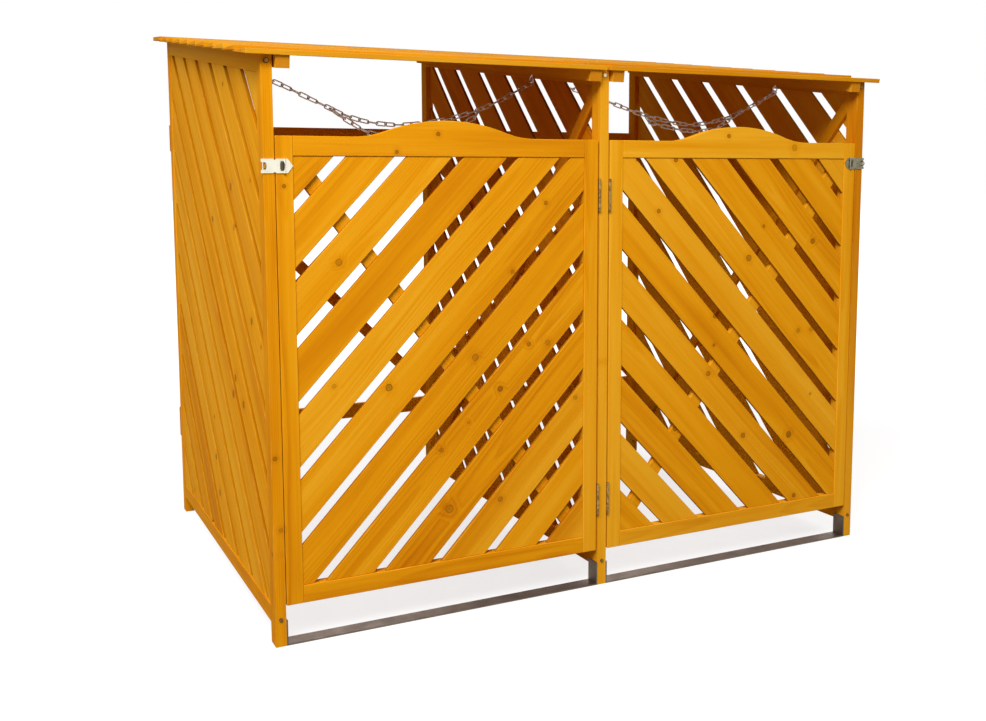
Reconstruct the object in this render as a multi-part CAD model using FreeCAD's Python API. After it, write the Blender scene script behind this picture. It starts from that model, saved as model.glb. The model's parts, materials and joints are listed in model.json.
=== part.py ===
import FreeCAD, Part
import math
import os

Vector = FreeCAD.Vector

# Double wheelie bin store of stained softwood. Millimetres, +Z up, standing on z = 0.
# X runs along the front, the doors face -Y, and the origin is under the middle of the roof.
# Most pieces of a bay are drawn for the right-hand bay and mirrored for the left-hand one.

# Timber frame
store_width = 1500.0  # over the outer faces of the outer posts
store_depth = 1000.0  # from the fronts of the front posts to the backs of the rear posts
front_height = 1146.0  # underside of the roof at the fronts of the front posts
roof_pitch = 8.14  # degrees, rising to the rear
post_width = 22.0  # along X, and the thickness of the panels
post_depth = 34.0  # along Y
lid_rest_gap = 0.3  # between a closed lid and the frame it lies on

# Slatted panels: left side, divider and right side
panel_rail_height = 34.0
panel_rail_lift = 41.0  # underside of the bottom rail above the ground
slat_width = 72.0
slat_thickness = 8.0
slat_recess = 2.0  # from the face of the frame to the face of the slats
slat_angle = 46.0  # degrees from level
panel_slat_gap = 23.5
panel_brace_width = 29.0

# Rear of each bay
rear_rail_thickness = 15.0
rear_rail_height = 41.0
rear_upper_rail_top = 1067.0
rear_lower_rail_bottom = 209.0
rear_brace_width = 34.0
falling_brace_top_inset = 3.0  # where a brace's centre line meets the outer post's side
falling_brace_bottom_inset = 23.0
rising_brace_inset = 13.0
hinge_rail_height = 15.0
hinge_rail_drop = 3.5  # its top under the roof's underside, room for the hinge leaves
bay_joint_gap = 1.0  # between the rear rails of the two bays

# Floor straps of bent steel
strap_thickness = 3.0
strap_flange_height = 52.0

# Doors
door_lift = 81.0  # underside of a door above the ground
door_top = 997.0  # top of the stiles
door_hinge_gap = 4.0
door_latch_gap = 2.0
door_thickness = 22.0
stile_width = 34.0
door_bottom_rail_height = 36.0
door_top_rail_height = 38.0
arch_half_width = 200.0
arch_rise = 34.0
arch_end_share = 0.35  # of the arch's two radii together, taken by the hollow ends
door_slat_gap = 18.4
door_slat_shift = 4.0  # of the slats across their run, upwards
door_brace_width = 34.0

# Butt hinges of the doors
door_hinge_length = 70.0
door_hinge_inset = 83.5  # from the ends of the hinge stile
door_leaf_thickness = 1.5
door_leaf_depth = 20.0
door_knuckle_radius = 3.0
door_pin_radius = 1.5

# Hasps
hasp_drop_left = 57.0  # from the top of the door's stiles
hasp_drop_right = 49.0
hasp_width = 27.0
hasp_sheet = 1.4
hasp_axis_inset = 17.0  # from the latch edge of the door
hasp_plate_length = 16.5  # from the pin's axis to the plate's point
hasp_point_depth = 10.0
hasp_knuckle_radius = 2.4
hasp_pin_radius = 1.5
hasp_window_height = 19.0
hasp_arm_length = 8.5  # from the pin's axis to the end of the window
hasp_seat_gap = 0.4  # between the strap and the post's face
hasp_end_overhang = 3.9  # of the strap past the outer post
hasp_end_notch = 2.5
hasp_end_lug = 6.0
hasp_waist_depth = 2.3
hasp_waist_width = 7.5
staple_wire_radius = 1.25
staple_half_span = 5.0
staple_inset = 3.25  # from the outer face of the outer post
staple_reach = 8.0  # in front of the strap, to the middle of the wire
staple_depth = 12.0  # in the post
staple_side_play = 0.5
staple_outer_play = 2.0

# Lids
roof_front_overhang = 19.0
roof_rear_overhang = 29.0
roof_side_overhang = 31.0
lid_gap = 7.0  # between the two lids
board_count = 11
board_width = 108.0
board_thick_edge = 10.0
board_thin_edge = 2.5
board_seat = 0.05  # between one board and the board it laps over
batten_width = 27.0
batten_height = 24.0
batten_side_gap = 4.0  # from a closed lid's battens to the panels
batten_front = -10.0  # front ends of the battens, from the fronts of the posts
batten_rear_gap = 4.0  # from the battens to the hinge rail

# Butt hinges of the lids
lid_hinge_length = 60.0
lid_hinge_inset = 130.0  # from the ends of the hinge rail to the middle of a hinge
lid_leaf_thickness = 1.2
lid_leaf_depth = 22.0
lid_knuckle_radius = 2.5
lid_pin_radius = 1.25
lid_axis_setback = 3.0  # behind the backs of the rear posts
lid_axis_drop = 2.2  # under the roof's underside

# Clearances of everything that turns
knuckle_gap = 0.3
pin_play = 0.1

# Screw eyes and chains
eye_setback = 275.0  # from the fronts of the posts
eye_ring_radius = 7.5  # to the middle of the wire
eye_wire_radius = 1.5
eye_drop = 11.0  # from the batten to the middle of the ring
eye_shank_radius = 1.75
eye_shank_depth = 15.0  # in the batten
chain_wire_radius = 1.5
link_inner_length = 21.3
link_inner_width = 6.0
link_rolls = (30.0, 150.0, 90.0)  # how the links turn about the chain's line, one after another
chain_links = 35  # between the eyes; the first and last aren't in the third roll
chain_play_left = 0.6  # between neighbouring links
chain_play_right = 0.9
snap_wire_radius = 1.75
snap_bend_radius = 6.0
snap_straight = 30.0
snap_sleeve_radius = 2.6
snap_sleeve_length = 16.0
snap_play = 0.3  # between a link's side and what is looped over it
snap_turn = 9.5  # degrees, downwards from the chain's line
snap_link_left = 9  # the link that the snap hook is clipped to, counted from the left
snap_link_right = 28
tail_links_left = 16  # from the snap hook to the tail's last link
tail_links_right = 13
tail_play_left = 0.6
tail_play_right = 1.35
tail_end_left = 27  # the link that the tail's last link is looped on, counted from the left
tail_end_right = 13
tail_end_turn = 35.0  # degrees, of the last link from the chain's line
tail_end_rolls = (0.0, 90.0)  # of the last two links

# How a chain hangs: share of the way between its eyes, and drop below them
chain_drops_left = (
    (0.0, 0.0),
    (0.10, 25.0),
    (0.20, 57.0),
    (0.34, 99.0),
    (0.44, 112.0),
    (0.54, 112.0),
    (0.70, 93.0),
    (0.85, 56.0),
    (1.0, 0.0),
)
chain_drops_right = (
    (0.0, 0.0),
    (0.12, 18.0),
    (0.25, 43.0),
    (0.38, 67.0),
    (0.55, 88.0),
    (0.66, 86.0),
    (0.78, 66.0),
    (0.90, 34.0),
    (1.0, 0.0),
)

# How a tail hangs: share of the way from the snap hook, and drop below a straight line
tail_drops_left = (
    (0.0, 0.0),
    (0.08, 15.5),
    (0.15, 28.0),
    (0.24, 36.5),
    (0.36, 40.5),
    (0.50, 38.5),
    (0.60, 33.0),
    (0.69, 25.5),
    (0.79, 17.6),
    (0.88, 12.0),
    (0.945, 7.6),
    (1.0, 0.0),
)
tail_drops_right = (
    (0.0, 0.0),
    (0.06, 8.0),
    (0.13, 15.5),
    (0.21, 21.0),
    (0.30, 24.2),
    (0.40, 25.0),
    (0.50, 23.6),
    (0.62, 20.4),
    (0.70, 17.1),
    (0.78, 13.0),
    (0.86, 8.8),
    (0.94, 4.0),
    (1.0, 0.0),
)

# Screws
screw_head_radius = 4.0
screw_head_height = 2.0
screw_shank_radius = 2.0
panel_screw_length = 60.0
rear_screw_length = 40.0
panel_screw_inset = 11.0  # of the upper screws, under the top of the post
panel_screw_lower = 55.0  # height of the lower screws

# Places that follow from the sizes above
pitch_sine = math.sin(math.radians(roof_pitch))
pitch_cosine = math.cos(math.radians(roof_pitch))
post_front = roof_front_overhang - (roof_front_overhang + store_depth + roof_rear_overhang) / 2
post_back = post_front + store_depth
outer_face = store_width / 2
outer_inner_face = outer_face - post_width
centre_half = post_width / 2
panel_front = post_front + post_depth
panel_back = post_back - post_depth
door_hinge_edge = centre_half + door_hinge_gap
hasp_height_left = door_top - hasp_drop_left
hasp_height_right = door_top - hasp_drop_right
door_latch_edge = outer_inner_face - door_latch_gap


def slope_point(along, above):
    """A point by its way up the slope of the roof's underside, from over the fronts of the posts,
    and by its height square to it. Gives y and z."""
    y = post_front + along * pitch_cosine - above * pitch_sine
    z = front_height + along * pitch_sine + above * pitch_cosine
    return y, z


def along_at(y, above):
    """The way up the slope of a point at a given y."""
    return (y - post_front + above * pitch_sine) / pitch_cosine


def slope_height(y, above):
    """The height of a line parallel to the roof's underside at a given y."""
    return slope_point(along_at(y, above), above)[1]


def block(x0, x1, y0, y1, z0, z1):
    """A box between two corners."""
    return Part.makeBox(x1 - x0, y1 - y0, z1 - z0, Vector(x0, y0, z0))


def flat_face(points):
    """A plane face with straight sides."""
    return Part.Face(Part.makePolygon(points + points[:1]))


def prism_x(outline, x0, x1):
    """A solid from an outline of (y, z) points, between two planes across X."""
    return flat_face([Vector(x0, y, z) for y, z in outline]).extrude(Vector(x1 - x0, 0, 0))


def prism_y(outline, y0, y1):
    """A solid from an outline of (x, z) points, between two planes across Y."""
    return flat_face([Vector(x, y0, z) for x, z in outline]).extrude(Vector(0, y1 - y0, 0))


def rod(start, direction, radius, length):
    """A round bar."""
    return Part.makeCylinder(radius, length, start, direction)


def mirrored(shape):
    """The other bay's copy of a piece."""
    return shape.mirror(Vector(0, 0, 0), Vector(1, 0, 0))


def keep(node, pieces):
    """Write a node: one solid, or a group of separate solids."""
    solids = [solid for piece in pieces for solid in piece.Solids]
    shape = solids[0] if len(solids) == 1 else Part.makeCompound(solids)
    shape.exportStep("parts/" + node + ".step")


def keep_pair(name, make):
    """Write a piece of the right-hand bay and its mirror image in the left-hand bay."""
    pieces = make()
    keep("right_" + name, pieces)
    keep("left_" + name, [mirrored(piece) for piece in pieces])


def clipped(outline, normal, limit):
    """The part of a convex outline that reaches no further than limit along normal."""
    kept = []
    for here, there in zip(outline, outline[1:] + outline[:1]):
        here_over = here[0] * normal[0] + here[1] * normal[1] - limit
        there_over = there[0] * normal[0] + there[1] * normal[1] - limit
        if here_over <= 0:
            kept.append(here)
        if here_over * there_over < 0:
            share = here_over / (here_over - there_over)
            kept.append(tuple(a + share * (b - a) for a, b in zip(here, there)))
    return kept


def across(point, angle):
    """The distance of a point from the origin, square to lines at an angle from level."""
    turn = math.radians(angle)
    return point[1] * math.cos(turn) - point[0] * math.sin(turn)


def band(window, angle, low, high):
    """The part of a convex window between two parallel lines at an angle from level."""
    turn = math.radians(angle)
    normal = (-math.sin(turn), math.cos(turn))
    reverse = (math.sin(turn), -math.cos(turn))
    return clipped(clipped(window, normal, high), reverse, -low)


def slats_in(window, angle, gap, shift):
    """The outlines of slanting slats that fill a window, spaced evenly about its middle."""
    reach = [across(corner, angle) for corner in window]
    pitch = slat_width + gap
    count = math.ceil((max(reach) - min(reach) + gap) / pitch)
    start = (max(reach) + min(reach)) / 2 + shift - (count * pitch - gap) / 2
    edges = [start + number * pitch for number in range(count)]
    outlines = [band(window, angle, edge, edge + slat_width) for edge in edges]
    return [outline for outline in outlines if len(outline) > 2]


def screw(place, direction, length):
    """A round-headed screw, driven in along direction from a face."""
    shank = rod(place, direction, screw_shank_radius, length)
    head = rod(place, direction * -1, screw_head_radius, screw_head_height)
    return head.fuse(shank).removeSplitter()


def drilled(piece, screws, length):
    """A piece with the holes that its screws fill."""
    for place, direction in screws:
        piece = piece.cut(rod(place, direction, screw_shank_radius, length))
    return piece


# Screws through the posts into the panels' rails
panel_middles = {
    "left": -outer_face + post_width / 2,
    "centre": 0.0,
    "right": outer_face - post_width / 2,
}


def panel_screws(middle):
    """Where the four screws of a panel go in, and which way."""
    rear_upper = slope_height(post_back, -lid_rest_gap) - panel_screw_inset - hinge_rail_drop
    front_upper = slope_height(post_front, -lid_rest_gap) - panel_screw_inset
    return [
        (Vector(middle, post_front, front_upper), Vector(0, 1, 0)),
        (Vector(middle, post_front, panel_screw_lower), Vector(0, 1, 0)),
        (Vector(middle, post_back, rear_upper), Vector(0, -1, 0)),
        (Vector(middle, post_back, panel_screw_lower), Vector(0, -1, 0)),
    ]


def rear_screws(side):
    """Where the screws of one bay's rear rails go in; side is 1 on the right, -1 on the left."""
    rear = post_back + rear_rail_thickness
    columns = (outer_face - post_width / 2, centre_half / 2 + bay_joint_gap / 4)
    rows = (rear_upper_rail_top - rear_rail_height / 2, rear_lower_rail_bottom + rear_rail_height / 2)
    return [(Vector(side * x, rear, z), Vector(0, -1, 0)) for x in columns for z in rows]


all_panel_screws = {name: panel_screws(middle) for name, middle in panel_middles.items()}
all_rear_screws = rear_screws(-1) + rear_screws(1)


# Posts
def post(middle, y0, y1, screws):
    """A post with its top cut to the slope of the roof."""
    top0 = slope_height(y0, -lid_rest_gap)
    top1 = slope_height(y1, -lid_rest_gap)
    outline = [(y0, 0), (y1, 0), (y1, top1), (y0, top0)]
    shape = prism_x(outline, middle - post_width / 2, middle + post_width / 2)
    shape = drilled(shape, screws, panel_screw_length)
    return drilled(shape, all_rear_screws, rear_screw_length)


def staple_legs(height, side):
    """Where the two legs of a hasp staple stand on the outer post's face."""
    x = side * (outer_face - staple_inset)
    return [Vector(x, post_front, height + end * staple_half_span) for end in (-1, 1)]


def staple_holes(height, side):
    """The holes that a staple's legs fill."""
    legs = staple_legs(height, side)
    return [rod(leg, Vector(0, 1, 0), staple_wire_radius, staple_depth) for leg in legs]


def front_post(name):
    """A front post; the outer ones also hold a staple."""
    shape = post(panel_middles[name], post_front, panel_front, all_panel_screws[name])
    if name == "left":
        shape = shape.cut(Part.makeCompound(staple_holes(hasp_height_left, -1)))
    if name == "right":
        shape = shape.cut(Part.makeCompound(staple_holes(hasp_height_right, 1)))
    return shape


# Slatted panels
def panel_pieces(name, screws):
    """The rails, slats and brace between a front post and a rear post."""
    middle = panel_middles[name]
    outward = -1 if name == "left" else 1
    face = middle + outward * post_width / 2
    slats_out = face - outward * slat_recess
    slats_back = slats_out - outward * slat_thickness
    brace_in = face - outward * post_width
    rail_front = middle - post_width / 2
    rail_back = middle + post_width / 2
    top_front = slope_height(panel_front, -lid_rest_gap)
    top_back = slope_height(panel_back, -lid_rest_gap)
    low = panel_rail_lift
    sill = low + panel_rail_height
    top_rail = prism_x(
        [
            (panel_front, top_front - panel_rail_height),
            (panel_back, top_back - panel_rail_height),
            (panel_back, top_back),
            (panel_front, top_front),
        ],
        rail_front,
        rail_back,
    )
    bottom_rail = block(rail_front, rail_back, panel_front, panel_back, low, sill)
    window = [
        (panel_front, sill),
        (panel_back, sill),
        (panel_back, top_back - panel_rail_height),
        (panel_front, top_front - panel_rail_height),
    ]
    slats = [
        prism_x(outline, slats_out, slats_back)
        for outline in slats_in(window, slat_angle, panel_slat_gap, 0.0)
    ]
    fall = math.degrees(math.atan2(window[1][1] - window[3][1], window[1][0] - window[3][0]))
    brace_top = across(window[3], fall)
    brace_band = band(window, fall, brace_top - panel_brace_width, brace_top)
    brace = prism_x(brace_band, slats_back, brace_in)
    return {
        "top_rail": [drilled(top_rail, screws, panel_screw_length)],
        "bottom_rail": [drilled(bottom_rail, screws, panel_screw_length)],
        "slats": slats,
        "brace": [brace],
    }


# Rear rails, crossed braces and hinge rail of a bay
def rear_rails():
    """The upper and lower rails across the backs of the rear posts."""
    inner = bay_joint_gap / 2
    rear = post_back + rear_rail_thickness
    upper_low = rear_upper_rail_top - rear_rail_height
    lower_top = rear_lower_rail_bottom + rear_rail_height
    upper = block(inner, outer_face, post_back, rear, upper_low, rear_upper_rail_top)
    lower = block(inner, outer_face, post_back, rear, rear_lower_rail_bottom, lower_top)
    return [drilled(rail, rear_screws(1), rear_screw_length) for rail in (upper, lower)]


def rear_braces():
    """Two crossed braces between the rails, halved into each other where they cross."""
    inner = bay_joint_gap / 2
    low = rear_lower_rail_bottom + rear_rail_height
    high = rear_upper_rail_top - rear_rail_height
    window = [(inner, low), (outer_face, low), (outer_face, high), (inner, high)]
    ends = {
        "falling": (
            (outer_face, high - falling_brace_top_inset),
            (inner, low + falling_brace_bottom_inset),
        ),
        "rising": ((outer_face, low + rising_brace_inset), (inner, high - rising_brace_inset)),
    }
    bands = {}
    for name, (outer, centre) in ends.items():
        angle = math.degrees(math.atan2(outer[1] - centre[1], outer[0] - centre[0]))
        line = across(outer, angle)
        half = rear_brace_width / 2
        bands[name] = band(window, angle, line - half, line + half)
    middle = post_back + rear_rail_thickness / 2
    rear = post_back + rear_rail_thickness
    front_half = {name: prism_y(outline, post_back, middle) for name, outline in bands.items()}
    rear_half = {name: prism_y(outline, middle, rear) for name, outline in bands.items()}
    falling = front_half["falling"].cut(front_half["rising"]).fuse(rear_half["falling"])
    rising = rear_half["rising"].cut(rear_half["falling"]).fuse(front_half["rising"])
    return [falling.removeSplitter(), rising.removeSplitter()]


def hinge_rail():
    """The rail between the rear posts that a lid's hinges are screwed to."""
    front_top = slope_height(panel_back, -hinge_rail_drop)
    back_top = slope_height(post_back, -hinge_rail_drop)
    outline = [
        (panel_back, front_top - hinge_rail_height),
        (post_back, back_top - hinge_rail_height),
        (post_back, back_top),
        (panel_back, front_top),
    ]
    return [prism_x(outline, centre_half, outer_inner_face)]


def floor_strap():
    """A strap on the ground between the front posts, with its ends turned up against them."""
    flat = block(centre_half, outer_inner_face, post_front, panel_front, 0, strap_thickness)
    ends = [
        block(
            start,
            start + strap_thickness,
            post_front,
            panel_front,
            0,
            strap_flange_height,
        )
        for start in (centre_half, outer_inner_face - strap_thickness)
    ]
    return [flat.fuse(ends).removeSplitter()]


# Doors
def door_stile(x0):
    """A full-height stile."""
    back = post_front + door_thickness
    return [block(x0, x0 + stile_width, post_front, back, door_lift, door_top)]


door_window_inner = door_hinge_edge + stile_width
door_window_outer = door_latch_edge - stile_width
door_window_low = door_lift + door_bottom_rail_height
door_window_high = door_top - door_top_rail_height
door_window = [
    (door_window_inner, door_window_low),
    (door_window_outer, door_window_low),
    (door_window_outer, door_window_high),
    (door_window_inner, door_window_high),
]


def door_top_rail():
    """The top rail, with a raised brow in its middle: a crown between two hollow ends."""
    middle = (door_hinge_edge + door_latch_edge) / 2
    turn = 2 * math.atan(arch_rise / arch_half_width)
    both_radii = arch_half_width / math.sin(turn)
    hollow = both_radii * arch_end_share
    crown = both_radii - hollow

    def hollow_point(side, angle):
        x = middle + side * (arch_half_width - hollow * math.sin(angle))
        return Vector(x, post_front, door_top + hollow * (1 - math.cos(angle)))

    def crown_point(side, angle):
        x = middle + side * crown * math.sin(angle)
        return Vector(x, post_front, door_top + arch_rise - crown * (1 - math.cos(angle)))

    right_start = hollow_point(1, 0)
    right_meet = hollow_point(1, turn)
    left_meet = hollow_point(-1, turn)
    left_start = hollow_point(-1, 0)
    low_inner = Vector(door_window_inner, post_front, door_window_high)
    low_outer = Vector(door_window_outer, post_front, door_window_high)
    high_outer = Vector(door_window_outer, post_front, door_top)
    high_inner = Vector(door_window_inner, post_front, door_top)
    edges = [
        Part.LineSegment(low_inner, low_outer).toShape(),
        Part.LineSegment(low_outer, high_outer).toShape(),
        Part.LineSegment(high_outer, right_start).toShape(),
        Part.Arc(right_start, hollow_point(1, turn / 2), right_meet).toShape(),
        Part.Arc(right_meet, crown_point(1, 0), left_meet).toShape(),
        Part.Arc(left_meet, hollow_point(-1, turn / 2), left_start).toShape(),
        Part.LineSegment(left_start, high_inner).toShape(),
        Part.LineSegment(high_inner, low_inner).toShape(),
    ]
    return [Part.Face(Part.Wire(edges)).extrude(Vector(0, door_thickness, 0))]


def door_bottom_rail():
    """The bottom rail."""
    back = post_front + door_thickness
    return [
        block(door_window_inner, door_window_outer, post_front, back, door_lift, door_window_low)
    ]


def door_slats():
    """Slanting slats, rising towards the middle of the store."""
    front = post_front + slat_recess
    outlines = slats_in(door_window, -slat_angle, door_slat_gap, door_slat_shift)
    return [prism_y(outline, front, front + slat_thickness) for outline in outlines]


def door_brace():
    """A brace behind the slats, from the latch side's top to the hinge side's bottom."""
    run = door_window_outer - door_window_inner
    rise = door_window_high - door_window_low
    angle = math.degrees(math.atan2(rise, run))
    line = across(door_window[0], angle)
    outline = band(door_window, angle, line - door_brace_width / 2, line + door_brace_width / 2)
    front = post_front + slat_recess + slat_thickness
    return [prism_y(outline, front, post_front + door_thickness)]


# Butt hinges of the doors
door_axis_x = centre_half + door_hinge_gap / 2
door_axis_y = post_front - door_knuckle_radius
door_hinge_bottoms = (
    door_lift + door_hinge_inset,
    door_top - door_hinge_inset - door_hinge_length,
)


def knuckle_spans(start, length):
    """The three stretches of a hinge's knuckles: outer, middle, outer."""
    each = (length - 2 * knuckle_gap) / 3
    starts = [start + number * (each + knuckle_gap) for number in range(3)]
    return [(low, low + each) for low in starts]


def door_leaf(bottom, x0, own_spans, bore):
    """A hinge leaf against the side of a post or a door, with its own knuckles."""
    back = post_front + door_leaf_depth
    front = post_front + knuckle_gap
    x1 = x0 + door_leaf_thickness
    leaf = block(x0, x1, front, back, bottom, bottom + door_hinge_length)
    for low, high in own_spans:
        foot = Vector(door_axis_x, door_axis_y, low)
        barrel = rod(foot, Vector(0, 0, 1), door_knuckle_radius, high - low)
        neck = block(x0, x1, door_axis_y, front, low, high)
        leaf = leaf.fuse([barrel, neck])
    start = Vector(door_axis_x, door_axis_y, bottom)
    leaf = leaf.cut(rod(start, Vector(0, 0, 1), bore, door_hinge_length))
    return leaf.removeSplitter()


def door_hinge_post_leaves():
    """The leaves on the centre post, with the outer knuckles."""
    leaves = []
    for bottom in door_hinge_bottoms:
        spans = knuckle_spans(bottom, door_hinge_length)
        leaves.append(door_leaf(bottom, centre_half, spans[::2], door_pin_radius))
    return leaves


def door_hinge_leaves():
    """The leaves on a door's hinge stile, with the middle knuckle."""
    leaves = []
    for bottom in door_hinge_bottoms:
        spans = knuckle_spans(bottom, door_hinge_length)
        x0 = door_hinge_edge - door_leaf_thickness
        leaves.append(door_leaf(bottom, x0, spans[1:2], door_pin_radius + pin_play))
    return leaves


def door_hinge_pins():
    """The pins of a door's hinges."""
    starts = [Vector(door_axis_x, door_axis_y, bottom) for bottom in door_hinge_bottoms]
    return [rod(start, Vector(0, 0, 1), door_pin_radius, door_hinge_length) for start in starts]


# Hasps
hasp_axis_x = door_latch_edge - hasp_axis_inset
hasp_axis_y = post_front - hasp_knuckle_radius - knuckle_gap


def hasp_plate(height):
    """The pointed plate on the latch stile, its tongue in the strap's window, and the pin."""
    half = hasp_width / 2
    tongue = hasp_window_height / 2 - knuckle_gap
    tip = hasp_axis_x - hasp_plate_length
    corner = tip + hasp_point_depth
    edge = hasp_axis_x - hasp_knuckle_radius - 2 * knuckle_gap
    outline = [
        (tip, height),
        (corner, height - half),
        (edge, height - half),
        (edge, height + half),
        (corner, height + half),
    ]
    sheet = prism_y(outline, post_front - hasp_sheet, post_front)
    neck = block(
        edge,
        hasp_axis_x + hasp_arm_length - knuckle_gap,
        post_front - hasp_sheet,
        post_front,
        height - tongue,
        height + tongue,
    )
    foot = Vector(hasp_axis_x, hasp_axis_y, height - tongue)
    barrel = rod(foot, Vector(0, 0, 1), hasp_knuckle_radius, 2 * tongue)
    pin_foot = Vector(hasp_axis_x, hasp_axis_y, height - half)
    pin = rod(pin_foot, Vector(0, 0, 1), hasp_pin_radius, hasp_width)
    plate = sheet.fuse([neck, barrel]).cut(pin).removeSplitter()
    return [plate, pin]


def hasp_strap(height):
    """The swinging strap: two arms on the pin, a waist over the gap, and a slot for the staple."""
    half = hasp_width / 2
    back = post_front - hasp_seat_gap
    front = back - hasp_sheet
    inner = hasp_axis_x + hasp_arm_length
    end = outer_face + hasp_end_overhang
    waist_x = outer_inner_face
    waist = hasp_waist_width / 2
    notch = half - hasp_end_lug
    outline = [
        (inner, height - half),
        (waist_x - waist, height - half),
        (waist_x, height - half + hasp_waist_depth),
        (waist_x + waist, height - half),
        (end, height - half),
        (end, height - notch),
        (end - hasp_end_notch, height - notch),
        (end - hasp_end_notch, height + notch),
        (end, height + notch),
        (end, height + half),
        (waist_x + waist, height + half),
        (waist_x, height + half - hasp_waist_depth),
        (waist_x - waist, height + half),
        (inner, height + half),
    ]
    strap = prism_y(outline, front, back)
    staple_x = outer_face - staple_inset
    slot = block(
        staple_x - staple_wire_radius - staple_side_play,
        staple_x + staple_wire_radius + staple_outer_play,
        front,
        back,
        height - staple_half_span - staple_wire_radius - staple_side_play,
        height + staple_half_span + staple_wire_radius + staple_side_play,
    )
    strap = strap.cut(slot)
    arm = half - hasp_window_height / 2
    for low in (height - half, height + half - arm):
        foot = Vector(hasp_axis_x, hasp_axis_y, low)
        barrel = rod(foot, Vector(0, 0, 1), hasp_knuckle_radius, arm)
        neck = block(hasp_axis_x, inner, front, back, low, low + arm)
        strap = strap.fuse([barrel, neck])
    bore_foot = Vector(hasp_axis_x, hasp_axis_y, height - half)
    bore = rod(bore_foot, Vector(0, 0, 1), hasp_pin_radius + pin_play, hasp_width)
    return [strap.cut(bore).removeSplitter()]


def hasp_staple(height, side):
    """A wire staple driven into the outer post, standing out through the strap's slot."""
    front = post_front - hasp_seat_gap - hasp_sheet - staple_reach
    shoulder = front + staple_half_span
    legs = staple_legs(height, side)
    length = post_front + staple_depth - shoulder
    wires = []
    for leg in legs:
        start = Vector(leg.x, shoulder, leg.z)
        wires.append(rod(start, Vector(0, 1, 0), staple_wire_radius, length))
    ring_middle = Vector(legs[0].x, shoulder, height)
    ring = Part.makeTorus(staple_half_span, staple_wire_radius, ring_middle, Vector(1, 0, 0))
    reach = 2 * staple_half_span
    x = legs[0].x
    front_half = block(x - reach, x + reach, shoulder - reach, shoulder, height - reach, height + reach)
    return ring.common(front_half).fuse(wires).removeSplitter()


# Lids
lid_inner = lid_gap / 2
lid_outer = outer_face + roof_side_overhang
roof_start = (board_thick_edge * pitch_sine - roof_front_overhang) / pitch_cosine
roof_end = (store_depth + roof_rear_overhang) / pitch_cosine
board_pitch = (roof_end - roof_start - board_width) / (board_count - 1)


def board_lifts():
    """How far the front edge of each board is raised by the board that it laps over."""
    lifts = [0.0]
    lap = board_pitch / board_width
    while len(lifts) < board_count:
        thick = lifts[-1] + board_thick_edge
        lifts.append(thick + (board_thin_edge - thick) * lap + board_seat)
    return lifts


def lid_boards():
    """Boards across the lid, each lapping over the one in front of it: all are feather-edged but
    the rearmost, which is as thick at its rear edge."""
    boards = []
    for number, lift in enumerate(board_lifts()):
        start = roof_start + number * board_pitch
        end = start + board_width
        last = number == board_count - 1
        rear_edge = board_thick_edge if last else board_thin_edge
        outline = [
            slope_point(start, lift),
            slope_point(end, 0),
            slope_point(end, rear_edge),
            slope_point(start, lift + board_thick_edge),
        ]
        boards.append(prism_x(outline, lid_inner, lid_outer))
    return boards


batten_starts = (
    centre_half + batten_side_gap,
    outer_inner_face - batten_side_gap - batten_width,
)
eye_along = along_at(post_front + eye_setback, -batten_height)
eye_y, eye_z = slope_point(eye_along, -batten_height - eye_drop)
up_normal = Vector(0, -pitch_sine, pitch_cosine)


def eye_shank(x):
    """The shank of a screw eye, square to the batten."""
    ring_top = slope_point(eye_along, eye_ring_radius - batten_height - eye_drop)
    start = Vector(x, ring_top[0], ring_top[1])
    return rod(start, up_normal, eye_shank_radius, eye_drop - eye_ring_radius + eye_shank_depth)


def lid_battens():
    """The two battens under a lid's boards."""
    low = -batten_height
    front = post_front + batten_front
    rear = panel_back - batten_rear_gap
    outline = [
        slope_point(along_at(front, low), low),
        slope_point(along_at(rear, low), low),
        slope_point(along_at(rear, low), 0),
        slope_point(along_at(front, low), 0),
    ]
    battens = []
    for start in batten_starts:
        batten = prism_x(outline, start, start + batten_width)
        battens.append(batten.cut(eye_shank(start + batten_width / 2)))
    return battens


def screw_eyes():
    """The screw eyes in the battens, their rings facing each other along X."""
    eyes = []
    for start in batten_starts:
        x = start + batten_width / 2
        ring_middle = Vector(x, eye_y, eye_z)
        ring = Part.makeTorus(eye_ring_radius, eye_wire_radius, ring_middle, Vector(1, 0, 0))
        eyes.append(ring.fuse(eye_shank(x)).removeSplitter())
    return eyes


# Butt hinges of the lids
lid_axis_along = along_at(post_back + lid_axis_setback, -lid_axis_drop)
lid_axis_y, lid_axis_z = slope_point(lid_axis_along, -lid_axis_drop)
lid_hinge_starts = (
    centre_half + lid_hinge_inset - lid_hinge_length / 2,
    outer_inner_face - lid_hinge_inset - lid_hinge_length / 2,
)


def sloping_sheet(x0, x1, near, far, above_near, above_far):
    """A thin sheet between two distances from the lid's axis, by its underside there."""
    outline = [
        slope_point(lid_axis_along + near, above_near),
        slope_point(lid_axis_along + far, above_far),
        slope_point(lid_axis_along + far, above_far + lid_leaf_thickness),
        slope_point(lid_axis_along + near, above_near + lid_leaf_thickness),
    ]
    return prism_x(outline, x0, x1)


lid_leaf_near = -lid_knuckle_radius - 2 * knuckle_gap  # from the axis, where the leaves begin
lid_leaf_far = -lid_leaf_depth


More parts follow.
